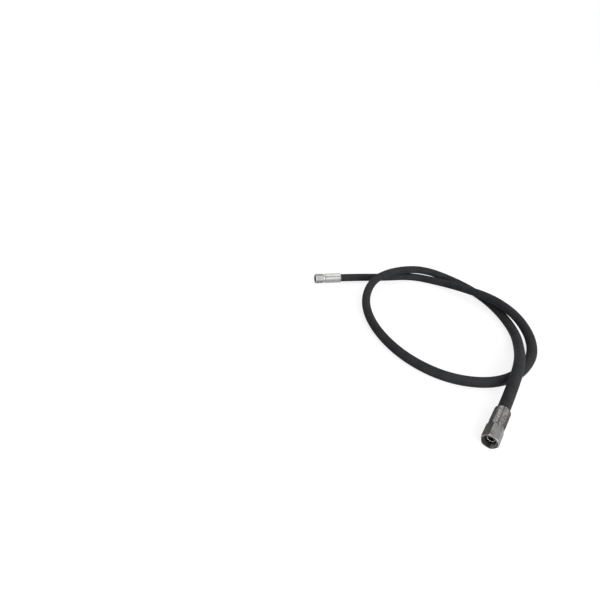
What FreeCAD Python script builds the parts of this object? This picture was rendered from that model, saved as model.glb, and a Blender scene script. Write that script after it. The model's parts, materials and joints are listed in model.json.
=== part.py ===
import FreeCAD, Part
import Sketcher
import math
import os
import re
from FreeCAD import Placement, Rotation, Vector

# A hydraulic hose assembly: a two-wire hose of 3/4 inch bore with a crimped swivel
# fitting at each end. It lies on the floor (Z = 0) in a loop and a half that goes over
# and under itself, as the hose was thrown down. Millimetres, +Z up.
# Each fitting is drawn along its own X axis: 0 is the rim of its ferrule, where the
# hose goes in, and X grows towards the mouth of its nut.

doc = FreeCAD.newDocument("HydraulicHoseAssembly")
sheet = doc.addObject("Spreadsheet::Sheet", "Dims")

dims = {
    # hose, from the bore outwards
    "bore_radius": 9.5,
    "tube_radius": 11.2,
    "inner_braid_radius": 12.0,
    "outer_braid_radius": 12.9,
    "cover_radius": 14.75,
    "hose_sides": 12,
    "engagement": 54,
    "layer_length": 52,
    # ferrule
    "ferrule_length": 64.5,
    "ferrule_radius": 18.6,
    "ferrule_rim_radius": 19,
    "ferrule_rim_length": 5,
    "ferrule_taper_start": 60.5,
    "ferrule_nose_radius": 16.2,
    "ferrule_collar_start": 58,
    "ferrule_collar_radius": 10.1,
    "crimp_ridges": 8,
    "ridge_width": 1.8,
    "ridge_height": 0.5,
    "ridge_start": 7,
    "ridge_end": 55,
    # insert
    "insert_bore_radius": 7.5,
    "tail_start": 4,
    "tail_radius": 9.1,
    "barb_radius": 9.75,
    "barb_pitch": 15,
    "barb_slope": 4,
    "insert_stop_radius": 12,
    "lock_groove_radius": 10,
    "flange_radius": 15.6,
    "flange_length": 3.5,
    "neck_radius": 10.7,
    "near_nose_tip": 105.5,
    "far_nose_tip": 88.5,
    "nose_length": 3.6,
    "nose_tip_radius": 8.6,
    # sealing ring and retaining wire
    "ring_depth": 1.9,
    "ring_centre_radius": 9.1,
    "ring_radius": 0.8,
    "wire_place": 77.5,
    "wire_radius": 1.1,
    "groove_play": 0.1,
    # nuts: M30 x 2 at the near end, G 3/4 at the far one
    "nut_start": 68.5,
    "near_nut_length": 50,
    "far_nut_length": 33,
    "near_nut_flats": 36,
    "far_nut_flats": 32,
    "nut_bore_radius": 10.8,
    "near_relief_radius": 15.2,
    "far_relief_radius": 13.4,
    "relief_length": 7,
    "near_thread_minor_radius": 13.92,
    "far_thread_minor_radius": 12.06,
    "nut_chamfer": 2.4,
    "near_nut_face_radius": 17.4,
    "far_nut_face_radius": 15.6,
    # how far the flats of each nut are turned at rest, in degrees
    "near_nut_turn": -10,
    "far_nut_turn": 4,
}
for line, (alias, value) in enumerate(dims.items(), start=1):
    sheet.set(f"A{line}", alias)
    sheet.set(f"B{line}", str(value))
    sheet.setAlias(f"B{line}", alias)
doc.recompute()


def size(alias):
    return float(sheet.get(alias))


# Route of the hose's centre line, from the cut end in the far fitting to the cut end in
# the near one. The hose lies on the floor except where it climbs over itself, so each
# hump has two points at its top, one each side of the crossing.
route = [
    Vector(-307, 331.5, 19.2), Vector(-196, 356.5, 19.2), Vector(-74, 382.5, 14.9),
    Vector(51, 413.5, 14.75), Vector(151, 374.5, 17), Vector(223, 298.5, 34),
    Vector(293, 212.5, 48), Vector(333, 114.5, 47.5), Vector(346, 27.5, 31),
    Vector(329, -48.5, 18), Vector(286, -114.5, 14.75), Vector(211, -184.5, 14.75),
    Vector(116, -219.5, 14.75), Vector(11, -205.5, 14.75), Vector(-76, -141.5, 14.75),
    Vector(-137, -43.5, 14.75), Vector(-170, 75.5, 14.75), Vector(-171, 190.5, 24),
    Vector(-132, 295.5, 42), Vector(-55, 369.5, 48), Vector(45, 412.5, 48),
    Vector(119, 417.5, 40), Vector(183, 408.5, 24), Vector(237, 373.5, 15.5),
    Vector(274, 318.5, 14.75), Vector(304, 240.5, 14.75), Vector(319, 145.5, 14.75),
    Vector(313, 33.5, 16), Vector(272, -73.5, 28), Vector(228, -153.5, 48),
    Vector(192, -212.5, 48), Vector(137, -294.5, 20.8), Vector(83, -367.5, 20.8),
]


def unit(vector):
    return Vector(vector).normalize()


def centre_line(points):
    """Straight runs joined by tangent arcs, each as large as its two runs allow."""
    edges, radii, start = [], [], points[0]
    for before, corner, after in zip(points, points[1:], points[2:]):
        back, ahead = unit(before - corner), unit(after - corner)
        turn = math.pi - back.getAngle(ahead)
        reach = 0.45 * min((before - corner).Length, (after - corner).Length)
        radius = reach / math.tan(turn / 2)
        inward = unit(back + ahead)
        middle = corner + inward * (radius / math.cos(turn / 2) - radius)
        arc_start, arc_end = corner + back * reach, corner + ahead * reach
        edges.append(Part.LineSegment(start, arc_start).toShape())
        edges.append(Part.Arc(arc_start, middle, arc_end).toShape())
        radii.append(radius)
        start = arc_end
    edges.append(Part.LineSegment(start, points[-1]).toShape())
    return Part.Wire(edges), radii


def least_gap(wire, diameter, step=6.0, apart=200.0):
    """Clear space between two stretches of the hose that pass each other."""
    points = wire.discretize(Distance=step)
    skip = int(apart / step)
    nearest = min(
        (first - second).Length
        for place, first in enumerate(points)
        for second in points[place + skip:]
    )
    return nearest - diameter


def fitting_frame(end, inside, turn=0.0):
    """Placement of a fitting whose hose ends at end and comes from inside."""
    outward = unit(end - inside)
    rim = end - outward * size("engagement")
    heading = math.degrees(math.atan2(outward.y, outward.x))
    return Placement(rim, Rotation(Vector(0, 0, 1), heading) * Rotation(Vector(1, 0, 0), turn))


frames = {
    "near": fitting_frame(route[-1], route[-2]),
    "far": fitting_frame(route[0], route[1]),
}


def plane_of(body, role):
    return next(item for item in body.Origin.OriginFeatures if item.Role == role)


def new_body(label, placement):
    body = doc.addObject("PartDesign::Body", label)
    body.Label = label
    body.Placement = placement
    return body


def bound(text):
    """The text as an expression that reads its aliases from the sheet."""
    return re.sub(r"[a-z_]+", lambda word: f"Dims.{word.group()}", text)


def new_sketch(body, name, role):
    sketch = body.newObject("Sketcher::SketchObject", name)
    sketch.AttachmentSupport = [(plane_of(body, role), "")]
    sketch.MapMode = "FlatFace"
    return sketch


def outline(body, name, corners):
    """A closed outline in the body's XY plane, its corners bound to the sheet.

    Each corner is a pair of texts: the place along the fitting and the radius there.
    """
    sketch = new_sketch(body, name, "XY_Plane")
    places = [
        Vector(sheet.evalExpression(along), sheet.evalExpression(radius), 0)
        for along, radius in corners
    ]
    for index, place in enumerate(places):
        sketch.addGeometry(Part.LineSegment(place, places[(index + 1) % len(places)]), False)
    for index in range(len(places)):
        following = (index + 1) % len(places)
        sketch.addConstraint(Sketcher.Constraint("Coincident", index, 2, following, 1))
    for index, (along, radius) in enumerate(corners):
        place = places[index]
        if place.x == 0:
            sketch.addConstraint(Sketcher.Constraint("PointOnObject", index, 1, -2))
        else:
            row = sketch.addConstraint(Sketcher.Constraint("DistanceX", -1, 1, index, 1, place.x))
            sketch.setExpression(f"Constraints[{row}]", bound(along))
        if place.y == 0:
            sketch.addConstraint(Sketcher.Constraint("PointOnObject", index, 1, -1))
        else:
            row = sketch.addConstraint(Sketcher.Constraint("DistanceY", -1, 1, index, 1, place.y))
            sketch.setExpression(f"Constraints[{row}]", bound(radius))
    return sketch


def turned(body, name, corners):
    """A ring turned about the fitting's axis."""
    feature = body.newObject("PartDesign::Revolution", name)
    sketch = outline(body, f"{name}_outline", corners)
    feature.Profile = sketch
    feature.ReferenceAxis = (sketch, ["H_Axis"])
    feature.Angle = 360
    sketch.Visibility = False
    return feature


def grooved(body, name, corners):
    """The same ring, turned out of the body."""
    feature = body.newObject("PartDesign::Groove", name)
    sketch = outline(body, f"{name}_outline", corners)
    feature.Profile = sketch
    feature.ReferenceAxis = (sketch, ["H_Axis"])
    feature.Angle = 360
    sketch.Visibility = False
    return feature


def ferrule(end):
    """Steel shell crimped over the hose by eight dies, with a ridge left between dies."""
    body = new_body(f"{end}_ferrule", frames[end])
    turned(body, f"{end}_ferrule_shell", [
        ("0", "cover_radius"),
        ("0", "ferrule_rim_radius"),
        ("ferrule_rim_length", "ferrule_rim_radius"),
        ("ferrule_rim_length + 1.5", "ferrule_radius"),
        ("ferrule_taper_start", "ferrule_radius"),
        ("ferrule_length", "ferrule_nose_radius"),
        ("ferrule_length", "ferrule_collar_radius"),
        ("ferrule_collar_start", "ferrule_collar_radius"),
        ("ferrule_collar_start", "cover_radius"),
    ])
    ridge = body.newObject("PartDesign::Pad", f"{end}_crimp_ridge")
    sketch = outline(body, f"{end}_crimp_ridge_outline", [
        ("ridge_start", "ferrule_radius - 0.5"),
        ("ridge_start", "ferrule_radius + 0.1"),
        ("ridge_start + 3", "ferrule_radius + ridge_height"),
        ("ridge_end - 3", "ferrule_radius + ridge_height"),
        ("ridge_end", "ferrule_radius + 0.1"),
        ("ridge_end", "ferrule_radius - 0.5"),
    ])
    ridge.Profile = sketch
    ridge.Midplane = True
    ridge.setExpression("Length", "Dims.ridge_width")
    sketch.Visibility = False
    pattern = body.newObject("PartDesign::PolarPattern", f"{end}_crimp_ridges")
    pattern.Originals = [ridge]
    pattern.Axis = (plane_of(body, "X_Axis"), [""])
    pattern.Angle = 360
    pattern.setExpression("Occurrences", "Dims.crimp_ridges")
    body.Tip = pattern
    return body


def insert(end):
    """Barbed tail, locking groove, flange, plain neck and coned nose on one bore."""
    body = new_body(f"{end}_insert", frames[end])
    tip = f"{end}_nose_tip"
    corners = [("tail_start", "insert_bore_radius"), ("tail_start", "tail_radius")]
    for barb in range(3):
        crest = f"tail_start + {barb + 1} * barb_pitch"
        corners.append((f"{crest} - barb_slope", "tail_radius"))
        corners.append((crest, "barb_radius"))
        corners.append((crest, "tail_radius"))
    corners += [
        ("engagement + 0.6", "tail_radius"),
        ("engagement + 0.6", "insert_stop_radius"),
        ("ferrule_collar_start - 0.1", "insert_stop_radius"),
        ("ferrule_collar_start - 0.1", "lock_groove_radius"),
        ("ferrule_length + 0.1", "lock_groove_radius"),
        ("ferrule_length + 0.1", "flange_radius"),
        ("ferrule_length + flange_length", "flange_radius"),
        ("ferrule_length + flange_length", "neck_radius"),
        (f"{tip} - nose_length", "neck_radius"),
        (tip, "nose_tip_radius"),
        (tip, "insert_bore_radius"),
    ]
    turned(body, f"{end}_insert_blank", corners)
    grooved(body, f"{end}_wire_groove", [
        ("wire_place - wire_radius - groove_play", "neck_radius - wire_radius - groove_play"),
        ("wire_place - wire_radius - groove_play", "neck_radius + 1"),
        ("wire_place + wire_radius + groove_play", "neck_radius + 1"),
        ("wire_place + wire_radius + groove_play", "neck_radius - wire_radius - groove_play"),
    ])
    seat = grooved(body, f"{end}_ring_groove", [
        (f"{tip} - ring_depth - ring_radius - groove_play", "ring_centre_radius - ring_radius"),
        (f"{tip} - ring_depth - ring_radius - groove_play", "neck_radius + 1"),
        (f"{tip} - ring_depth + ring_radius + groove_play", "neck_radius + 1"),
        (f"{tip} - ring_depth + ring_radius + groove_play", "ring_centre_radius - ring_radius"),
    ])
    body.Tip = seat
    return body


def hexagon(body, name, flats):
    """Six equal flats about the fitting's axis, one of them level."""
    sketch = new_sketch(body, name, "YZ_Plane")
    corner_radius = size(flats) / math.sqrt(3)
    corners = [
        Vector(corner_radius * math.cos(step * math.pi / 3), corner_radius * math.sin(step * math.pi / 3), 0)
        for step in range(6)
    ]
    for index, corner in enumerate(corners):
        sketch.addGeometry(Part.LineSegment(corner, corners[(index + 1) % 6]), False)
    round_corners = sketch.addGeometry(Part.Circle(Vector(), Vector(0, 0, 1), corner_radius), True)
    sketch.addConstraint(Sketcher.Constraint("Coincident", round_corners, 3, -1, 1))
    for index in range(6):
        following = (index + 1) % 6
        sketch.addConstraint(Sketcher.Constraint("Coincident", index, 2, following, 1))
        sketch.addConstraint(Sketcher.Constraint("PointOnObject", index, 1, round_corners))
    for index in range(1, 6):
        sketch.addConstraint(Sketcher.Constraint("Equal", 0, index))
    sketch.addConstraint(Sketcher.Constraint("Horizontal", 1))
    row = sketch.addConstraint(Sketcher.Constraint("Radius", round_corners, corner_radius))
    sketch.setExpression(f"Constraints[{row}]", f"Dims.{flats} / sqrt(3)")
    return sketch


def nut(end):
    """Swivel nut: a hexagon with chamfered ends, bored from its mouth for the thread, a
    relief and the wire's chamber, with a lip at the back that the wire holds.
    """
    turn = size(f"{end}_nut_turn")
    outer, inner = (route[-1], route[-2]) if end == "near" else (route[0], route[1])
    body = new_body(f"{end}_nut", fitting_frame(outer, inner, turn))
    sketch = hexagon(body, f"{end}_nut_hexagon", f"{end}_nut_flats")
    sketch.setExpression("AttachmentOffset.Base.z", "Dims.nut_start")
    bar = body.newObject("PartDesign::Pad", f"{end}_nut_bar")
    bar.Profile = sketch
    bar.setExpression("Length", f"Dims.{end}_nut_length")
    sketch.Visibility = False
    mouth = f"nut_start + {end}_nut_length"
    face, reach = f"{end}_nut_face_radius", f"{end}_nut_flats * 0.65"
    grooved(body, f"{end}_nut_back_chamfer", [
        ("nut_start - 1", face),
        ("nut_start", face),
        ("nut_start + nut_chamfer", reach),
        ("nut_start - 1", reach),
    ])
    grooved(body, f"{end}_nut_front_chamfer", [
        (f"{mouth} + 1", face),
        (mouth, face),
        (f"{mouth} - nut_chamfer", reach),
        (f"{mouth} + 1", reach),
    ])
    tip, lip = f"{end}_nose_tip", "wire_place - wire_radius - 2 * groove_play"
    chamber = "neck_radius + wire_radius + 2 * groove_play"
    bore = grooved(body, f"{end}_nut_bore", [
        ("nut_start - 1", "0"),
        ("nut_start - 1", "nut_bore_radius"),
        (lip, "nut_bore_radius"),
        (lip, chamber),
        (f"{tip} - relief_length", chamber),
        (f"{tip} - relief_length", f"{end}_relief_radius"),
        (tip, f"{end}_relief_radius"),
        (tip, f"{end}_thread_minor_radius"),
        (f"{mouth} + 1", f"{end}_thread_minor_radius"),
        (f"{mouth} + 1", "0"),
    ])
    body.Tip = bore
    return body


def in_pair(label, pieces):
    """The same piece at both ends of the hose, as two solids."""
    feature = doc.addObject("Part::Compound", label)
    feature.Label = label
    feature.Links = pieces
    return feature


def small_ring(end, label, place, centre, radius, sides):
    """A ring of round section, drawn with a few sides."""
    body = new_body(f"{end}_{label}", frames[end])
    corners = []
    for side in range(sides):
        angle = 2 * math.pi * (side + 0.5) / sides
        along, out = round(math.cos(angle), 5), round(math.sin(angle), 5)
        corners.append((f"{place} + {radius} * ({along})", f"{centre} + {radius} * ({out})"))
    turned(body, f"{end}_{label}_ring", corners)
    return body


def hose_section(end, along, radius):
    """A ring of equal sides about the fitting's axis, which stands in for a circle."""
    sides = int(size("hose_sides"))
    corners = []
    for side in range(sides):
        angle = 2 * math.pi * (side + 0.5) / sides
        corners.append(Vector(along, radius * math.cos(angle), radius * math.sin(angle)))
    ring = Part.makePolygon(corners + corners[:1])
    ring.Placement = frames[end]
    return ring


def layer_rod(end, radius):
    """The hose's core out to radius where the fitting holds it, flush with the cut end."""
    start = size("engagement") - size("layer_length")
    along = frames[end].Rotation.multVec(Vector(size("layer_length"), 0, 0))
    return Part.Face(hose_section(end, start, radius)).extrude(along)


def hose_layer(label, inner, outer):
    """One layer at both ends of the hose, as two solids."""
    feature = doc.addObject("Part::Feature", label)
    feature.Label = label
    tubes = [layer_rod(end, size(outer)).cut(layer_rod(end, size(inner))) for end in ("near", "far")]
    feature.Shape = Part.Compound(tubes)
    return feature


def hose_cover():
    """The hose as it lies, with a socket in each end for the layers and the insert."""
    feature = doc.addObject("Part::Feature", "hose_cover")
    feature.Label = "hose_cover"
    line, radii = centre_line(route)
    section = hose_section("far", size("engagement"), size("cover_radius"))
    body = line.makePipeShell([section], True, False)
    sides = size("hose_sides")
    area = sides / 2 * size("cover_radius") ** 2 * math.sin(2 * math.pi / sides)
    diameter = 2 * size("cover_radius")
    print("bend radii in diameters:", " ".join(f"{radius / diameter:.1f}" for radius in radii))
    print(f"hose length {line.Length:.0f} mm")
    print(f"volume {body.Volume / (area * line.Length):.4f} of section times length")
    print(f"least gap to itself {least_gap(line, diameter):.1f} mm")
    for end in ("near", "far"):
        body = body.cut(layer_rod(end, size("outer_braid_radius")))
    feature.Shape = body
    return feature


parts = [
    hose_cover(),
    hose_layer("outer_wire_braid", "inner_braid_radius", "outer_braid_radius"),
    hose_layer("inner_wire_braid", "tube_radius", "inner_braid_radius"),
    hose_layer("inner_tube", "bore_radius", "tube_radius"),
]
ends = ("near", "far")
parts += [nut(end) for end in ends]
parts += [
    in_pair("ferrules", [ferrule(end) for end in ends]),
    in_pair("inserts", [insert(end) for end in ends]),
    in_pair("o_rings", [
        small_ring(end, "o_ring", f"{end}_nose_tip - ring_depth", "ring_centre_radius", "ring_radius", 5)
        for end in ends
    ]),
    in_pair("retaining_wires", [
        small_ring(end, "retaining_wire", "wire_place", "neck_radius", "wire_radius", 4) for end in ends
    ]),
]
doc.recompute()

for item in doc.Objects:
    if "Invalid" in item.State or "Error" in item.State:
        raise RuntimeError(f"{item.Name} failed: {item.State}")
for part in parts:
    if part.Shape.isNull() or not part.Shape.isValid() or not part.Shape.Solids:
        raise RuntimeError(f"{part.Label} has no valid solid")

os.makedirs("parts", exist_ok=True)
for part in parts:
    part.Shape.exportStep(f"parts/{part.Label}.step")
    box = part.Shape.BoundBox
    print(
        f"{part.Label}: {len(part.Shape.Solids)} solid, {part.Shape.Volume / 1000:.1f} cm3,"
        f" x {box.XMin:.1f} to {box.XMax:.1f}, y {box.YMin:.1f} to {box.YMax:.1f},"
        f" z {box.ZMin:.2f} to {box.ZMax:.1f}"
    )
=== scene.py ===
import json
import math

import bmesh
import bpy
from mathutils import Matrix, Vector


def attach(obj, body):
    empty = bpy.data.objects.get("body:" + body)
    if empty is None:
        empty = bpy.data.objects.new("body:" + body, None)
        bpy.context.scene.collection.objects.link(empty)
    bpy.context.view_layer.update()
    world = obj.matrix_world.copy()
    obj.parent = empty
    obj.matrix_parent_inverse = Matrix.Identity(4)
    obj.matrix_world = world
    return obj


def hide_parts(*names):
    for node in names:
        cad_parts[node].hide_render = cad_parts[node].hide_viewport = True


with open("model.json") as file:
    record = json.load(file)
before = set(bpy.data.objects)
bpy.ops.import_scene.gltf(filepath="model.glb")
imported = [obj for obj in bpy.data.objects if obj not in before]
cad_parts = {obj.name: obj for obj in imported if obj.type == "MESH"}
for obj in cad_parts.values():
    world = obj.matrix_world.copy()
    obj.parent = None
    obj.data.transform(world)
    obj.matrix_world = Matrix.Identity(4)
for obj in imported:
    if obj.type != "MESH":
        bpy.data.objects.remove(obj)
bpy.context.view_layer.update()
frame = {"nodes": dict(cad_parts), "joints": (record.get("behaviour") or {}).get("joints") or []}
mm = 0.001
fullTurn = 2 * math.pi
print("frame loaded")


# Each fitting has its own axes: x runs along it, 0 at the rim where the hose goes in,
# and the joint of its nut stands this far along.
jointPlace = 72 * mm
fittingAxes = {}
for joint in frame["joints"]:
    along = Vector(joint["axis"]).normalized()
    across = Vector((0, 0, 1)).cross(along)
    turned = Matrix((along, across, along.cross(across))).transposed().to_4x4()
    start = Vector(joint["pos_m"]) - along * jointPlace
    fittingAxes[joint["child"].split("_")[0]] = Matrix.Translation(start) @ turned


class Signal:
    # an output socket that can be reckoned with like a number
    def __init__(self, paint, socket):
        self.paint = paint
        self.socket = socket

    def __add__(self, other):
        return self.paint.math("ADD", self, other)

    def __radd__(self, other):
        return self.paint.math("ADD", other, self)

    def __sub__(self, other):
        return self.paint.math("SUBTRACT", self, other)

    def __rsub__(self, other):
        return self.paint.math("SUBTRACT", other, self)

    def __mul__(self, other):
        return self.paint.math("MULTIPLY", self, other)

    def __rmul__(self, other):
        return self.paint.math("MULTIPLY", other, self)

    def __truediv__(self, other):
        return self.paint.math("DIVIDE", self, other)

    def sine(self):
        return self.paint.math("SINE", self)

    def cosine(self):
        return self.paint.math("COSINE", self)

    def root(self):
        return self.paint.math("SQRT", self)

    def floor(self):
        return self.paint.math("FLOOR", self)

    def fraction(self):
        return self.paint.math("FRACT", self)

    def size(self):
        return self.paint.math("ABSOLUTE", self)

    def most(self, other):
        return self.paint.math("MAXIMUM", self, other)


class Paint:
    # the node tree of a material or of the world, filled from expressions
    def __init__(self, owner):
        self.owner = owner
        owner.use_nodes = True
        self.tree = owner.node_tree
        self.tree.nodes.clear()

    def node(self, kind, settings=None, values=None, output=0):
        made = self.tree.nodes.new(kind)
        for key, value in (settings or {}).items():
            setattr(made, key, value)
        for key, value in (values or {}).items():
            self.feed(made.inputs[key], value)
        return Signal(self, made.outputs[output])

    def feed(self, target, value):
        if isinstance(value, Signal):
            self.tree.links.new(value.socket, target)
        else:
            target.default_value = value

    def math(self, operation, first, second=0.0):
        return self.node("ShaderNodeMath", {"operation": operation}, {0: first, 1: second})

    def split(self, vector):
        parts = self.node("ShaderNodeSeparateXYZ", None, {0: vector}).socket.node.outputs
        return [Signal(self, part) for part in parts]

    def objectPlace(self):
        return self.node("ShaderNodeTexCoord", None, None, 3)

    def shownRays(self):
        # 1 for what the camera sees, also by way of metal or glass, and 0 for light on the object
        rays = self.node("ShaderNodeLightPath").socket.node.outputs
        kinds = ("Camera", "Glossy", "Transmission")
        seen, mirrored, through = [Signal(self, rays[f"Is {kind} Ray"]) for kind in kinds]
        return seen + mirrored + through

    def joined(self, x, y, z):
        return self.node("ShaderNodeCombineXYZ", None, {0: x, 1: y, 2: z})

    def noise(self, vector, scale, detail, roughness):
        values = {"Vector": vector, "Scale": scale, "Detail": detail, "Roughness": roughness}
        return self.node("ShaderNodeTexNoise", None, values)

    def between(self, value, low, high):
        # 0 below low, 1 above high, smooth in between
        settings = {"interpolation_type": "SMOOTHSTEP"}
        values = {"Value": value, "From Min": low, "From Max": high}
        return self.node("ShaderNodeMapRange", settings, values)

    def blended(self, factor, first, second):
        settings = {"data_type": "RGBA", "clamp_factor": True}
        return self.node("ShaderNodeMix", settings, {0: factor, 6: colour(first), 7: colour(second)}, 2)

    def bumped(self, height, distance, below=None):
        values = {"Height": height, "Distance": distance, "Strength": 1.0}
        if below:
            values["Normal"] = below
        return self.node("ShaderNodeBump", None, values)

    def shaded(self, values):
        surface = self.node("ShaderNodeBsdfPrincipled", None, values)
        return self.closed("ShaderNodeOutputMaterial", surface)

    def closed(self, outputKind, surface):
        output = self.tree.nodes.new(outputKind)
        self.tree.links.new(surface.socket, output.inputs[0])
        return self.owner


def colour(value):
    return value if isinstance(value, Signal) else (*value, 1.0)


def inFitting(paint, end):
    # the fitting's own axes, from the object's coordinates
    back = fittingAxes[end].inverted()
    where = paint.objectPlace()
    values = {"Vector": where, "Location": back.to_translation(), "Rotation": back.to_euler()}
    return paint.node("ShaderNodeMapping", {"vector_type": "POINT"}, values)


hoseRubber = {
    "light": (0.056, 0.057, 0.061),
    "dark": (0.036, 0.037, 0.040),
    "dust": (0.085, 0.086, 0.09),
    "dustShare": 0.55,
    "roughness": 0.64,
    "specular": 0.08,
    "cloudFineness": 28,
    "scuffFineness": 75,
    "grainFineness": 900,
    "grainDepth": 0.08 * mm,
    # the cloth that the hose is cured in leaves its weave, and the edge of its wrap
    "weavePitch": 1.5 * mm,
    "weaveTurns": 62,
    "weaveDepth": 0.06 * mm,
    "wrapPitch": 62 * mm,
    "wrapDepth": 0.25 * mm,
}


def hoseRubberPaint():
    paint = Paint(bpy.data.materials.new("hoseRubber"))
    spun = paint.node("ShaderNodeAttribute", {"attribute_name": "hoseTurn"}, None, 1)
    cosine, sine, along = paint.split(spun)
    turn = paint.math("ARCTAN2", sine, cosine) / fullTurn
    where = paint.objectPlace()
    lengthwise = along / hoseRubber["weavePitch"]
    across = turn * hoseRubber["weaveTurns"]
    oneWay, otherWay = lengthwise + across, lengthwise - across
    weave = ((oneWay * fullTurn).sine() + (otherWay * fullTurn).sine()) * 0.25 + 0.5
    wrap = (along / hoseRubber["wrapPitch"] + turn).fraction()
    wrapEdge = paint.between(wrap, 0.0, 0.035) * (1 - paint.between(wrap, 0.0, 1.0))
    cloudy = paint.noise(where, hoseRubber["cloudFineness"], 4, 0.6)
    grain = paint.noise(where, hoseRubber["grainFineness"], 3, 0.7)
    scuffs = paint.between(paint.noise(where, hoseRubber["scuffFineness"], 6, 0.75), 0.55, 0.78)
    base = paint.blended(paint.between(cloudy, 0.3, 0.7), hoseRubber["dark"], hoseRubber["light"])
    base = paint.blended(weave * 0.25, base, hoseRubber["dark"])
    base = paint.blended(scuffs * grain * hoseRubber["dustShare"], base, hoseRubber["dust"])
    normal = paint.bumped(grain, hoseRubber["grainDepth"])
    normal = paint.bumped(weave, hoseRubber["weaveDepth"], normal)
    normal = paint.bumped(wrapEdge, hoseRubber["wrapDepth"], normal)
    return paint.shaded({
        "Base Color": base,
        "Roughness": hoseRubber["roughness"] + cloudy * 0.18 + scuffs * 0.1,
        "Normal": normal,
        "Specular IOR Level": hoseRubber["specular"],
    })


zincPlate = {
    "tarnish": (0.105, 0.09, 0.07),
    # dark colour for specks of grime, and for the painted shade of the sides
    "grimeAndShade": (0.028, 0.025, 0.022),
    "edge": (0.5, 0.5, 0.49),
    "sealing": (0.92, 0.92, 0.91),
    "warmth": 0.985,
    "latheFineness": 2600,
    "latheDepth": 0.02 * mm,
    "broadFineness": 60,
    "speckFineness": 1500,
    "patchDepth": 0.12 * mm,
    # how far back from its end each band of the nut and of the cone starts and is full
    "faceBand": (0.35 * mm, 0.15 * mm),
    "rimBand": (2.6 * mm, 1.6 * mm),
    "coneBand": (5.2 * mm, 4.4 * mm),
    "rimRadii": (15.3 * mm, 15.5 * mm),
    # the plate's own grey on each piece, how much of it has turned, how strong the painted
    # side shade is, and how softly the patches end
    "near": {
        "softness": 0.0,
        "ferrule": {"clean": 0.33, "worn": 0.85, "sideShade": 1.0},
        "nut": {"clean": 0.215, "worn": 0.45, "sideShade": 1.0},
        "insert": {"clean": 0.24, "worn": 0.3, "sideShade": 0.6},
    },
    "far": {
        "softness": 0.12,
        "ferrule": {"clean": 0.58, "worn": 0.45, "sideShade": 0.4},
        "nut": {"clean": 0.26, "worn": 0.5, "sideShade": 0.5},
        "insert": {"clean": 0.5, "worn": 0.3, "sideShade": 0.3},
    },
    # roughness, fineness of the patches, and marks of the crimp
    "ferrule": {"roughness": 0.34, "mottle": 330, "crimped": 1.0},
    "nut": {"roughness": 0.36, "mottle": 230, "crimped": 0.0},
    "insert": {"roughness": 0.2, "mottle": 330, "crimped": 0.0},
}


def facingAngle(piece, end, turn):
    # the way that the surface faces round the axis, the same all over each flat of a nut
    if piece != "nut":
        return turn
    flat = math.pi / 3
    offset = math.radians(nut[end]["turn"])
    return ((turn - offset) / flat).floor() * flat + (offset + flat / 2)


def bandBefore(paint, x, limit, name):
    starts, full = zincPlate[name]
    return paint.between(x, limit - starts, limit - full)


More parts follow.
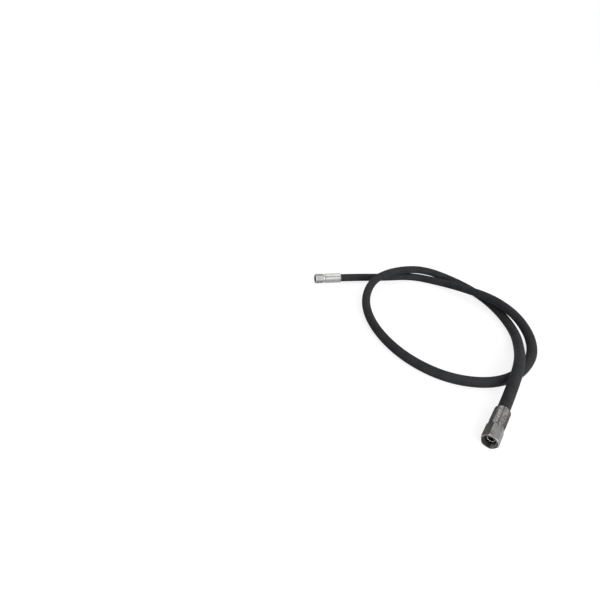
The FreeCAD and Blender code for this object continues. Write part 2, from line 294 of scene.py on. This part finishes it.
def zincPaint(piece, end):
    # turned and plated steel: lathe lines round the axis, tarnish in patches of a few
    # millimetres, painted shade on the lower left side (on the ferrule the lower right too), grease
    # along the crimp ridges
    age, facts = zincPlate[end][piece], zincPlate[piece]
    tarnish, softness = age["worn"], zincPlate[end]["softness"]
    paint = Paint(bpy.data.materials.new(f"{end}{piece.title()}Zinc"))
    where = inFitting(paint, end)
    x, y, z = paint.split(where)
    radius = (y * y + z * z).root()
    lathe = zincPlate["latheFineness"]
    lines = paint.noise(paint.joined(x * lathe, radius * lathe, 0.0), 1.0, 2, 0.6)
    patches = paint.noise(where, facts["mottle"], 4, 0.62)
    broad = paint.noise(where, zincPlate["broadFineness"], 3, 0.5)
    fine = paint.noise(where, zincPlate["speckFineness"], 3, 0.65)
    coverLow, coverHigh = 0.80 - 0.25 * tarnish, 0.90 - 0.20 * tarnish + softness
    cover = paint.between(patches + broad * 0.35, coverLow, coverHigh)
    clean = (age["clean"], age["clean"], age["clean"] * zincPlate["warmth"])
    base = paint.blended(cover * (0.3 + 0.65 * tarnish), clean, zincPlate["tarnish"])
    ragged = (patches - 0.5) * (1.3 - 4 * softness)
    turn = facingAngle(piece, end, paint.math("ARCTAN2", z, y))
    across, upward = turn.cosine(), turn.sine()
    # painted shade: faces that look left and down are darkened, and on the ferrule also faces that look
    # right and down
    leftShade = paint.between(across * -0.8 - upward * 0.6 + ragged * 0.7, -0.25, 0.35)
    rightShade = paint.between(across * 0.65 - upward * 0.75 + ragged, -0.4, 0.2)
    shadeAndGrime = leftShade.most(rightShade * facts["crimped"]) * age["sideShade"]
    if facts["crimped"]:
        offRidge = ((turn * (ferrule["ridges"] / fullTurn) + 0.5).fraction() - 0.5).size()
        crease = 1 - paint.between(offRidge + ragged * 0.08, 0.06, 0.2)
        shadeAndGrime = shadeAndGrime.most(crease * 0.6)
    if piece == "nut":
        # a darker end face, and a brighter band on the rim round it
        mouth = nut[end]["end"] * mm
        face = bandBefore(paint, x, mouth, "faceBand")
        outside = paint.between(radius, *zincPlate["rimRadii"])
        edge = bandBefore(paint, x, mouth, "rimBand") * (1 - face) * outside
        base = paint.blended(edge * 0.7, base, zincPlate["edge"])
        shadeAndGrime = (shadeAndGrime * (1 - edge * 0.8)).most(face * 0.8)
    if piece == "insert":
        # the cone that seals is kept clean by the cap and the mating port
        cone = bandBefore(paint, x, insert["tips"][end] * mm, "coneBand")
        base = paint.blended(cone, base, zincPlate["sealing"])
        shadeAndGrime = shadeAndGrime * (1 - cone)
    # the painted side shade goes into the colour here, with the crimp grease and the darker end face
    base = paint.blended(shadeAndGrime * 0.9, base, zincPlate["grimeAndShade"])
    specks = paint.between(fine, 0.60, 0.72)
    base = paint.blended(specks * 0.5 * tarnish, base, zincPlate["grimeAndShade"])
    normal = paint.bumped(patches, zincPlate["patchDepth"] * tarnish)
    normal = paint.bumped(lines, zincPlate["latheDepth"], normal)
    return paint.shaded({
        "Base Color": base,
        "Metallic": 1.0 - cover * 0.35 * tarnish - shadeAndGrime * 0.3,
        "Roughness": facts["roughness"] + fine * 0.12 + cover * 0.18 + shadeAndGrime * 0.15,
        "Normal": normal,
    })


sealRubber = {"black": (0.012, 0.012, 0.013), "bloom": (0.045, 0.043, 0.04), "bloomFineness": 700}
springWire = {"dark": (0.20, 0.19, 0.18), "bright": (0.42, 0.41, 0.39), "drawnFineness": 1200}
braidWire = {
    "dark": (0.16, 0.14, 0.10),
    "bright": (0.48, 0.42, 0.28),
    "crossings": 3000,
    "depth": 0.1 * mm,
}


def sealPaint():
    paint = Paint(bpy.data.materials.new("sealRubber"))
    bloom = paint.noise(paint.objectPlace(), sealRubber["bloomFineness"], 3, 0.6)
    base = paint.blended(paint.between(bloom, 0.5, 0.8), sealRubber["black"], sealRubber["bloom"])
    return paint.shaded({"Base Color": base, "Roughness": 0.3 + bloom * 0.2})


def springWirePaint():
    paint = Paint(bpy.data.materials.new("springWire"))
    drawn = paint.noise(paint.objectPlace(), springWire["drawnFineness"], 3, 0.6)
    base = paint.blended(drawn, springWire["dark"], springWire["bright"])
    return paint.shaded({"Base Color": base, "Metallic": 1.0, "Roughness": 0.32 + drawn * 0.15})


def braidPaint():
    # crossed bands of drawn wire, for the hidden layers of the hose
    paint = Paint(bpy.data.materials.new("braidWire"))
    x, y, z = paint.split(paint.objectPlace())
    fineness = braidWire["crossings"]
    crossed = ((x + y + z) * fineness).sine() * ((x - y - z) * fineness).sine()
    return paint.shaded({
        "Base Color": paint.blended(crossed * 0.5 + 0.5, braidWire["dark"], braidWire["bright"]),
        "Metallic": 1.0,
        "Roughness": 0.4 + crossed * 0.1,
        "Normal": paint.bumped(crossed, braidWire["depth"]),
    })


def linked(name, data):
    made = bpy.data.objects.new(name, data)
    bpy.context.scene.collection.objects.link(made)
    return made


def meshPiece(name, mesh, material, body, nodeNames):
    piece = linked(name, mesh)
    mesh.materials.clear()
    mesh.materials.append(material)
    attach(piece, body)
    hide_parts(*nodeNames)
    return piece


def softened(corners, reach, steps=3):
    # the outline of a turned piece in millimetres, with each corner eased by a small curve
    eased = []
    count = len(corners)
    for index, corner in enumerate(corners):
        here = Vector(corner)
        before, after = Vector(corners[index - 1]), Vector(corners[(index + 1) % count])
        first = here + (before - here).normalized() * min(reach, (before - here).length * 0.4)
        last = here + (after - here).normalized() * min(reach, (after - here).length * 0.4)
        for step in range(steps + 1):
            t = step / steps
            eased.append(first * (1 - t) ** 2 + here * 2 * t * (1 - t) + last * t * t)
    return eased


def shellMesh(name, rings, axes, creaseAngle=28):
    # rings of points in millimetres, joined into one closed skin that runs out and back
    mesh = bpy.data.meshes.new(name)
    skin = bmesh.new()
    rows = [[skin.verts.new(axes @ (Vector(point) * mm)) for point in ring] for ring in rings]
    bridged(skin, zip(rows, rows[1:] + rows[:1]))
    skinned(skin, mesh, creaseAngle)
    return mesh


def bridged(skin, pairs):
    for row, following in pairs:
        for index in range(len(row)):
            ahead = (index + 1) % len(row)
            skin.faces.new((row[index], row[ahead], following[ahead], following[index]))


def skinned(skin, mesh, creaseAngle):
    # merged, turned outwards, and smooth but for its creases
    bmesh.ops.remove_doubles(skin, verts=skin.verts, dist=0.0005 * mm)
    bmesh.ops.recalc_face_normals(skin, faces=skin.faces)
    for face in skin.faces:
        face.smooth = True
    for edge in skin.edges:
        if len(edge.link_faces) == 2:
            edge.smooth = edge.calc_face_angle() < math.radians(creaseAngle)
    skin.to_mesh(mesh)
    skin.free()


def roundRing(x, radius, count):
    # radius may be a number or a function of the angle round the axis
    ring = []
    for step in range(count):
        angle = fullTurn * step / count
        out = radius(angle) if callable(radius) else radius
        ring.append((x, out * math.cos(angle), out * math.sin(angle)))
    return ring


def turnedMesh(name, corners, axes, count, reach):
    return shellMesh(name, [roundRing(x, out, count) for x, out in softened(corners, reach)], axes)


def joinedMesh(name, meshes):
    whole = bmesh.new()
    for mesh in meshes:
        whole.from_mesh(mesh)
    result = bpy.data.meshes.new(name)
    whole.to_mesh(result)
    whole.free()
    return result


class Growth:
    # a Geometry Nodes tree on one object, turned into a plain mesh when it is done
    def __init__(self, name, inputs):
        self.tree = bpy.data.node_groups.new(name, "GeometryNodeTree")
        face = self.tree.interface
        face.new_socket("Geometry", in_out="INPUT", socket_type="NodeSocketGeometry")
        for title, kind in inputs.items():
            face.new_socket(title, in_out="INPUT", socket_type=kind)
        face.new_socket("Geometry", in_out="OUTPUT", socket_type="NodeSocketGeometry")
        self.start = self.tree.nodes.new("NodeGroupInput")
        self.end = self.tree.nodes.new("NodeGroupOutput")

    def node(self, kind, settings=None, values=None):
        made = self.tree.nodes.new(kind)
        for key, value in (settings or {}).items():
            setattr(made, key, value)
        for key, value in (values or {}).items():
            if isinstance(value, bpy.types.NodeSocket):
                self.tree.links.new(value, made.inputs[key])
            else:
                made.inputs[key].default_value = value
        return made

    def math(self, operation, first, second=0.0):
        return self.node("ShaderNodeMath", {"operation": operation}, {0: first, 1: second}).outputs[0]

    def stored(self, geometry, name, dataType, value):
        settings = {"data_type": dataType, "domain": "POINT"}
        values = {"Name": name, "Geometry": geometry, "Value": value}
        return self.node("GeometryNodeStoreNamedAttribute", settings, values).outputs[0]

    def read(self, name, dataType):
        made = self.node("GeometryNodeInputNamedAttribute", {"data_type": dataType}, {"Name": name})
        return made.outputs[0]

    def closed(self, geometry):
        real = self.node("GeometryNodeRealizeInstances", None, {0: geometry})
        painted = self.node("GeometryNodeSetMaterial", None, {0: real.outputs[0]})
        self.tree.links.new(self.start.outputs["Material"], painted.inputs["Material"])
        self.tree.links.new(painted.outputs[0], self.end.inputs[0])

    def grown(self, source, values, name):
        modifier = source.modifiers.new("growth", "NODES")
        modifier.node_group = self.tree
        for item in self.tree.interface.items_tree:
            if item.in_out == "INPUT" and item.name in values:
                modifier[item.identifier] = values[item.name]
        bpy.context.view_layer.update()
        seen = source.evaluated_get(bpy.context.evaluated_depsgraph_get())
        mesh = bpy.data.meshes.new_from_object(seen)
        mesh.name = name
        source.modifiers.remove(modifier)
        bpy.data.objects.remove(source)
        return mesh


# The hose: control points of its centre line in millimetres, from the cut end in the far
# fitting to the cut end in the near one.
hoseRoute = [
    (-307, 331.5, 19.2), (-196, 356.5, 19.2), (-74, 382.5, 14.9), (51, 413.5, 14.75),
    (151, 374.5, 17), (223, 298.5, 34), (293, 212.5, 48), (333, 114.5, 47.5), (346, 27.5, 31),
    (329, -48.5, 18), (286, -114.5, 14.75), (211, -184.5, 14.75), (116, -219.5, 14.75),
    (11, -205.5, 14.75), (-76, -141.5, 14.75), (-137, -43.5, 14.75), (-170, 75.5, 14.75),
    (-171, 190.5, 24), (-132, 295.5, 42), (-55, 369.5, 48), (45, 412.5, 48), (119, 417.5, 40),
    (183, 408.5, 24), (237, 373.5, 15.5), (274, 318.5, 14.75), (304, 240.5, 14.75),
    (319, 145.5, 14.75), (313, 33.5, 16), (272, -73.5, 28), (228, -153.5, 48), (192, -212.5, 48),
    (137, -294.5, 20.8), (83, -367.5, 20.8),
]
hose = {
    "diameter": 29.5 * mm,
    "length": 3.157,
    "sides": 56,
    "ringStep": 5 * mm,
    "curveSteps": 24,
}


def routeCurve():
    line = bpy.data.curves.new("hoseLine", "CURVE")
    line.dimensions = "3D"
    line.resolution_u = hose["curveSteps"]
    spline = line.splines.new("NURBS")
    spline.points.add(len(hoseRoute) - 1)
    for point, place in zip(spline.points, hoseRoute):
        point.co = (*(Vector(place) * mm), 1.0)
    spline.order_u = 3
    spline.use_endpoint_u = True
    return linked("hoseLine", line)


def hoseGrowth():
    growth = Growth("hoseTube", {
        "Radius": "NodeSocketFloat",
        "Sides": "NodeSocketInt",
        "Step": "NodeSocketFloat",
        "Material": "NodeSocketMaterial",
    })
    given = growth.start.outputs
    spaced = growth.node("GeometryNodeResampleCurve", {"mode": "LENGTH"}, {
        "Curve": given["Geometry"],
        "Length": given["Step"],
    })
    reach = growth.node("GeometryNodeSplineParameter")
    lengthwise = growth.stored(spaced.outputs[0], "lengthwise", "FLOAT", reach.outputs["Length"])
    circle = growth.node("GeometryNodeCurvePrimitiveCircle", None, {
        "Resolution": given["Sides"],
        "Radius": given["Radius"],
    })
    share = growth.node("GeometryNodeSplineParameter")
    angle = growth.math("MULTIPLY", share.outputs["Factor"], fullTurn)
    around = growth.node("ShaderNodeCombineXYZ", None, {
        0: growth.math("COSINE", angle),
        1: growth.math("SINE", angle),
    })
    profile = growth.stored(circle.outputs[0], "around", "FLOAT_VECTOR", around.outputs[0])
    tube = growth.node("GeometryNodeCurveToMesh", None, {
        "Curve": lengthwise,
        "Profile Curve": profile,
        "Fill Caps": True,
    })
    # the paint reads one attribute: cosine and sine round the hose, and the length along it
    split = growth.node("ShaderNodeSeparateXYZ", None, {0: growth.read("around", "FLOAT_VECTOR")})
    both = growth.node("ShaderNodeCombineXYZ", None, {
        0: split.outputs[0],
        1: split.outputs[1],
        2: growth.read("lengthwise", "FLOAT"),
    })
    growth.closed(growth.stored(tube.outputs[0], "hoseTurn", "FLOAT_VECTOR", both.outputs[0]))
    return growth


def makeHose():
    drawn = routeCurve()
    bpy.context.view_layer.update()
    seen = drawn.evaluated_get(bpy.context.evaluated_depsgraph_get())
    path = [tuple(vertex.co) for vertex in bpy.data.meshes.new_from_object(seen).vertices]
    material = hoseRubberPaint()
    mesh = hoseGrowth().grown(drawn, {
        "Radius": hose["diameter"] / 2,
        "Sides": hose["sides"],
        "Step": hose["ringStep"],
        "Material": material,
    }, "hose")
    skin = bmesh.new()
    skin.from_mesh(mesh)
    skinned(skin, mesh, 40)
    piece = meshPiece("hose", mesh, material, "root", ["hose_cover"])


# Ferrule: outline in millimetres, along the fitting and outwards.
ferrule = {
    "outline": [
        (0.0, 15.1), (0.0, 19.0), (5.0, 19.0), (6.5, 18.6), (60.5, 18.6), (63.0, 17.5), (64.5, 16.2),
        (64.5, 10.1), (58.0, 10.1), (58.0, 14.75), (1.0, 14.75),
    ],
    "count": 160,
    "ease": 0.5,
    "ridges": 8,
    "ridgeStart": 7.0,
    "ridgeEnd": 55.0,
    "ridgeRadius": 18.45,
    "ridgeHeight": 0.64,
    "ridgeWidth": 2.0,
    "ridgeRoot": 0.4,
    "ridgeStations": 26,
    "ridgeSteps": 8,
}


def ridgeMesh():
    # one rounded ridge, which fades into the shell at both ends
    steps, stations = ferrule["ridgeSteps"], ferrule["ridgeStations"]
    reach = ferrule["ridgeEnd"] - ferrule["ridgeStart"]
    mesh = bpy.data.meshes.new("ridge")
    skin = bmesh.new()
    rows = []
    for station in range(stations + 1):
        share = station / stations
        x = ferrule["ridgeStart"] + reach * share
        rise = min(1.0, share * 9, (1 - share) * 9)
        rise = rise * rise * (3 - 2 * rise)
        ring = []
        for step in range(steps + 1):
            side = (step / steps - 0.5) * 2
            height = ferrule["ridgeRadius"] + ferrule["ridgeHeight"] * rise * (1 - side * side)
            ring.append((x, side * ferrule["ridgeWidth"] / 2, height))
        ring.append((x, 0.0, ferrule["ridgeRadius"] - ferrule["ridgeRoot"]))
        rows.append([skin.verts.new(Vector(point) * mm) for point in ring])
    bridged(skin, zip(rows, rows[1:]))
    skin.faces.new(rows[0])
    skin.faces.new(rows[-1])
    skinned(skin, mesh, 40)
    return mesh


def ridgeGrowth():
    growth = Growth("crimpRidges", {
        "Count": "NodeSocketInt",
        "Material": "NodeSocketMaterial",
    })
    given = growth.start.outputs
    points = growth.node("GeometryNodePoints", None, {"Count": given["Count"]})
    index = growth.node("GeometryNodeInputIndex")
    angle = growth.math("MULTIPLY", index.outputs[0], growth.math("DIVIDE", fullTurn, given["Count"]))
    spin = growth.node("ShaderNodeCombineXYZ", None, {0: angle})
    placed = growth.node("GeometryNodeInstanceOnPoints", None, {
        "Points": points.outputs[0],
        "Instance": given["Geometry"],
        "Rotation": spin.outputs[0],
    })
    growth.closed(placed.outputs[0])
    return growth


def makeFerrule(end, material):
    axes = fittingAxes[end]
    blank = linked("ridgeBlank", ridgeMesh())
    sizes = {"Count": ferrule["ridges"], "Material": material}
    ridges = ridgeGrowth().grown(blank, sizes, f"{end}Ridges")
    ridges.transform(axes)
    shell = turnedMesh(f"{end}Shell", ferrule["outline"], axes, ferrule["count"], ferrule["ease"])
    mesh = joinedMesh(f"{end}Ferrule", [shell, ridges])
    return meshPiece(f"{end}Ferrule", mesh, material, "root", ["ferrules"])


# Insert: barbed tail, lock groove, flange, neck with the wire's groove, and coned nose
# with the groove of the sealing ring.
insert = {
    "bore": 7.5,
    "tailStart": 4.0,
    "tail": 9.1,
    "barb": 9.75,
    "barbCrests": (19.0, 34.0, 49.0),
    "barbSlope": 4.0,
    "middle": [
        (54.6, 9.1), (54.6, 12.0), (57.9, 12.0), (57.9, 10.0), (64.6, 10.0), (64.6, 15.6), (68.0, 15.6),
        (68.0, 10.7), (76.3, 10.7), (76.3, 9.5), (78.7, 9.5), (78.7, 10.7),
    ],
    # the nose, back from its tip
    "nose": [(3.6, 10.7), (2.8, 10.23), (2.8, 8.3), (1.0, 8.3), (1.0, 9.18), (0.0, 8.6), (0.0, 7.9)],
    "tips": {"near": 105.5, "far": 88.5},
    "count": 112,
    "ease": 0.2,
}


def makeInsert(end, material):
    corners = [(insert["tailStart"], insert["bore"]), (insert["tailStart"], insert["tail"])]
    for crest in insert["barbCrests"]:
        corners.append((crest - insert["barbSlope"], insert["tail"]))
        corners.append((crest, insert["barb"]))
        corners.append((crest + 0.1, insert["tail"]))
    tip = insert["tips"][end]
    corners += insert["middle"]
    corners += [(tip - back, out) for back, out in insert["nose"]]
    corners.append((tip - 0.6, insert["bore"]))
    mesh = turnedMesh(f"{end}Insert", corners, fittingAxes[end], insert["count"], insert["ease"])
    return meshPiece(f"{end}Insert", mesh, material, "root", ["inserts"])


# Swivel nut: hexagon with chamfered ends, and a real thread inside.
nut = {
    "start": 68.5,
    "lip": 10.8,
    "chamber": 12.0,
    "chamberStart": 76.2,
    "chamfer": 2.4,
    "reliefLength": 7.0,
    "threadRows": 84,
    "mouthChamfer": 1.0,
    "chamferStations": 14,
    "count": 192,
    "near": {
        "end": 118.5, "flats": 36.0, "corner": 20.65, "face": 17.4, "turn": -10,
        "pitch": 2.0, "minor": 13.92, "major": 15.0, "relief": 15.2,
    },
    "far": {
        "end": 101.5, "flats": 32.0, "corner": 18.4, "face": 15.6, "turn": 4,
        "pitch": 1.814, "minor": 12.06, "major": 13.22, "relief": 13.4,
    },
}


def nutMesh(end):
    facts = nut[end]
    turn = math.radians(facts["turn"])
    count = nut["count"]
    tip = insert["tips"][end]

    def hexagon(limit):
        def reach(angle):
            away = (angle - turn) % (math.pi / 3) - math.pi / 6
            return min(facts["flats"] / 2 / math.cos(away), facts["corner"], limit)
        return reach

    def thread(x, angle):
        # a ridge that winds once round the axis for each pitch, and fades at the inner end
        phase = (x / facts["pitch"] - angle / fullTurn) % 1.0
        ridge = min(1.0, max(0.0, 1.35 - abs(phase - 0.5) * 4.2))
        fade = min(1.0, max(0.0, (x - tip) / 0.8))
        return facts["major"] - (facts["major"] - facts["minor"]) * ridge * fade

    start, stop = nut["start"], facts["end"]
    # the chamfers are cones that cut the hexagon and would run on past its corners
    coneRadius = facts["flats"] * 0.65
    slope = (coneRadius - facts["face"]) / nut["chamfer"]
    mouth = facts["major"] + 0.08
    stations = nut["chamferStations"]
    rings = [roundRing(start, nut["lip"] + 0.4, count), roundRing(start, facts["face"] - 0.3, count)]
    for step in range(stations + 1):
        depth = nut["chamfer"] * (step / stations) ** 1.2
        rings.append(roundRing(start + depth, hexagon(facts["face"] + slope * depth), count))
    for step in range(stations + 1):
        depth = nut["chamfer"] * (1 - step / stations) ** 1.2
        rings.append(roundRing(stop - depth, hexagon(facts["face"] + slope * depth), count))
    rings.append(roundRing(stop, mouth + 0.35, count))
    rings.append(roundRing(stop - 0.1, mouth + 0.1, count))
    threadEnd = stop - nut["mouthChamfer"]
    for step in range(nut["threadRows"] + 1):
        x = threadEnd - (threadEnd - tip) * step / nut["threadRows"]
        rings.append(roundRing(x, lambda angle, x=x: thread(x, angle), count))
    reliefStart = tip - nut["reliefLength"]
    inside = [
        (tip - 0.4, facts["relief"]), (reliefStart + 0.4, facts["relief"]),
        (reliefStart, facts["relief"] - 0.4), (reliefStart, nut["chamber"] + 0.2),
        (reliefStart - 0.3, nut["chamber"]),
        (nut["chamberStart"] + 0.2, nut["chamber"]), (nut["chamberStart"], nut["lip"] + 0.2),
        (nut["chamberStart"] - 0.3, nut["lip"]), (start + 0.4, nut["lip"]),
    ]
    rings += [roundRing(x, out, count) for x, out in inside]
    return shellMesh(f"{end}Nut", rings, fittingAxes[end], 24)


def makeNut(end, material):
    return meshPiece(f"{end}Nut", nutMesh(end), material, f"{end}_nut", [f"{end}_nut"])


# Sealing ring, back from the tip of the nose, and the wire that holds the nut, along the fitting.
smallRings = {
    "ORing": {
        "depth": 1.9, "centre": 9.1, "radius": 0.8,
        "slot": "seal_rubber", "node": "o_rings",
    },
    "RetainingWire": {
        "place": 77.5, "centre": 10.7, "radius": 1.1,
        "slot": "spring_wire", "node": "retaining_wires",
    },
    "count": 96,
    "sides": 16,
}


def makeSmallRing(end, kind, material):
    facts = smallRings[kind]
    place = facts["place"] if "place" in facts else insert["tips"][end] - facts["depth"]
    rings = []
    for step in range(smallRings["sides"]):
        angle = fullTurn * step / smallRings["sides"]
        x = place + facts["radius"] * math.cos(angle)
        out = facts["centre"] + facts["radius"] * math.sin(angle)
        rings.append(roundRing(x, out, smallRings["count"]))
    mesh = shellMesh(f"{end}{kind}", rings, fittingAxes[end], 60)
    return meshPiece(f"{end}{kind}", mesh, material, "root", [facts["node"]])


def dressHiddenLayers():
    braid, tube = braidPaint(), sealPaint()
    layers = {"outer_wire_braid": braid, "inner_wire_braid": braid, "inner_tube": tube}
    for nodeName, material in layers.items():
        held = frame["nodes"][nodeName]
        held.data.materials.clear()
        held.data.materials.append(material)


# The view of the photograph, from a point in metres, level along Y but for its pitch and roll.
camera = {
    "place": (-0.407, -0.9985, 0.7095),
    "pitch": 31.03,
    "roll": 4.013,
    "lens": 22.5,
}


def makeCamera():
    pitch, roll = math.radians(camera["pitch"]), math.radians(camera["roll"])
    ahead = Vector((0, math.cos(pitch), -math.sin(pitch)))
    upward = Vector((0, math.sin(pitch), math.cos(pitch)))
    level = Vector((1, 0, 0))
    right = level * math.cos(roll) + upward * math.sin(roll)
    top = upward * math.cos(roll) - level * math.sin(roll)
    data = bpy.data.cameras.new("camera")
    data.lens = camera["lens"]
    data.sensor_width = 36
    turned = Matrix((right, top, -ahead)).transposed().to_4x4()
    seen = linked("camera", data)
    seen.matrix_world = Matrix.Translation(camera["place"]) @ turned
    bpy.context.scene.camera = seen


studio = {
    "white": (1.0, 1.0, 1.0),
    "skyStrength": 0.2,
    "lamps": [
        # place, size in metres, power in watts; all aim at the middle of the floor
        ((0.9, -2.4, 1.0), 3.2, 76),
        ((0.5, 1.2, 2.2), 3.0, 14),
    ],
}


def makeStudio():
    bpy.context.scene.view_settings.view_transform = "Standard"
    world = bpy.data.worlds.new("studio")
    bpy.context.scene.world = world
    sky = Paint(world)
    white = colour(studio["white"])
    light = sky.node("ShaderNodeBackground", None, {"Color": white, "Strength": studio["skyStrength"]})
    shown = sky.node("ShaderNodeBackground", None, {"Color": white, "Strength": 1.0})
    both = sky.node("ShaderNodeMixShader", None, {0: sky.shownRays(), 1: light, 2: shown})
    sky.closed("ShaderNodeOutputWorld", both)
    for place, width, power in studio["lamps"]:
        data = bpy.data.lights.new("softbox", "AREA")
        data.size = width
        data.energy = power
        lamp = linked("softbox", data)
        lamp.location = place
        lamp.rotation_euler = (-Vector(place)).to_track_quat("-Z", "Y").to_euler()


floor = {
    "halfWidth": 40.0,
    "colour": (0.45, 0.45, 0.45),
    # light that only the eye sees, near the object and far off, and where one turns into the other
    "nearLift": 0.80,
    "farLift": 0.96,
    "nearEnds": 1.0,
    "farStarts": 3.0,
}


def makeFloor():
    wide = floor["halfWidth"]
    mesh = bpy.data.meshes.new("floor")
    corners = [(-wide, -wide, 0), (wide, -wide, 0), (wide, wide, 0), (-wide, wide, 0)]
    mesh.from_pydata(corners, [], [(0, 1, 2, 3)])
    paint = Paint(bpy.data.materials.new("floorPaint"))
    matte = paint.node("ShaderNodeBsdfDiffuse", None, {"Color": colour(floor["colour"])})
    away = paint.node("ShaderNodeVectorMath", {"operation": "LENGTH"}, {0: paint.objectPlace()}, 1)
    far = paint.between(away, floor["nearEnds"], floor["farStarts"])
    lift = far * (floor["farLift"] - floor["nearLift"]) + floor["nearLift"]
    glow = paint.node("ShaderNodeEmission", None, {
        "Color": colour(studio["white"]),
        "Strength": paint.shownRays() * lift,
    })
    both = paint.node("ShaderNodeAddShader", None, {0: matte, 1: glow})
    mesh.materials.append(paint.closed("ShaderNodeOutputMaterial", both))
    linked("floor", mesh)


makeCamera()
makeStudio()
makeFloor()
print("studio ready")

seal, spring = sealPaint(), springWirePaint()
for end in ("near", "far"):
    makeFerrule(end, zincPaint("ferrule", end))
    makeInsert(end, zincPaint("insert", end))
    makeNut(end, zincPaint("nut", end))
    makeSmallRing(end, "ORing", seal)
    makeSmallRing(end, "RetainingWire", spring)
    print(f"{end} fitting ready")

makeHose()
dressHiddenLayers()
print("hose ready")
